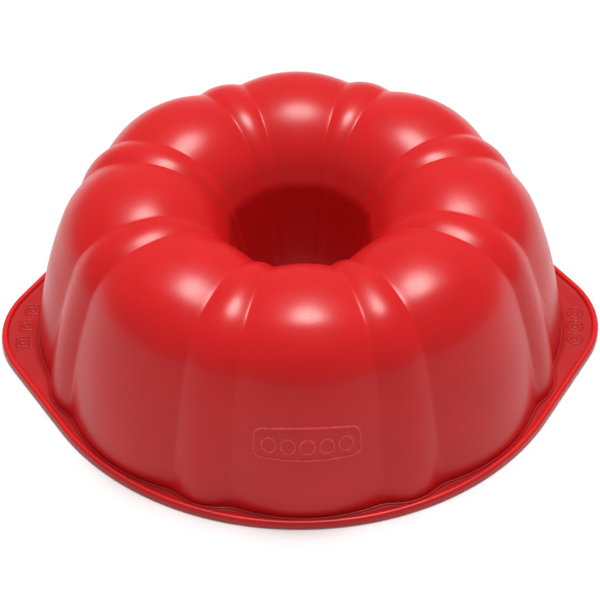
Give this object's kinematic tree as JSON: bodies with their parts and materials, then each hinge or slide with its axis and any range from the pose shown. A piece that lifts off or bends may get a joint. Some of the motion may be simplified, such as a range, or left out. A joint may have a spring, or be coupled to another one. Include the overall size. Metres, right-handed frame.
{
  "type": "silicone bundt mould",
  "caption": "Fluted ring cake mould in red silicone, upside down on its rim, with a centre tube, a flat flange, a raised rim bead and a grip tab at each side.",
  "frame": {"origin": "on the mould's axis, in the plane that the rim rests on, with the mould upside down", "axes": "+Z along the axis from the rim to the crown, X through the two grip tabs, -Y towards the front"},
  "size_m": [0.266, 0.24, 0.0821],
  "materials": {
    "silicone": "satin, moulded silicone",
    "rim_wire": "drawn wire, sealed inside the bead"
  },
  "bodies": {
    "root": {"silicone_moulding": "silicone", "rim_wire": "rim_wire"}
  },
  "joints": []
}
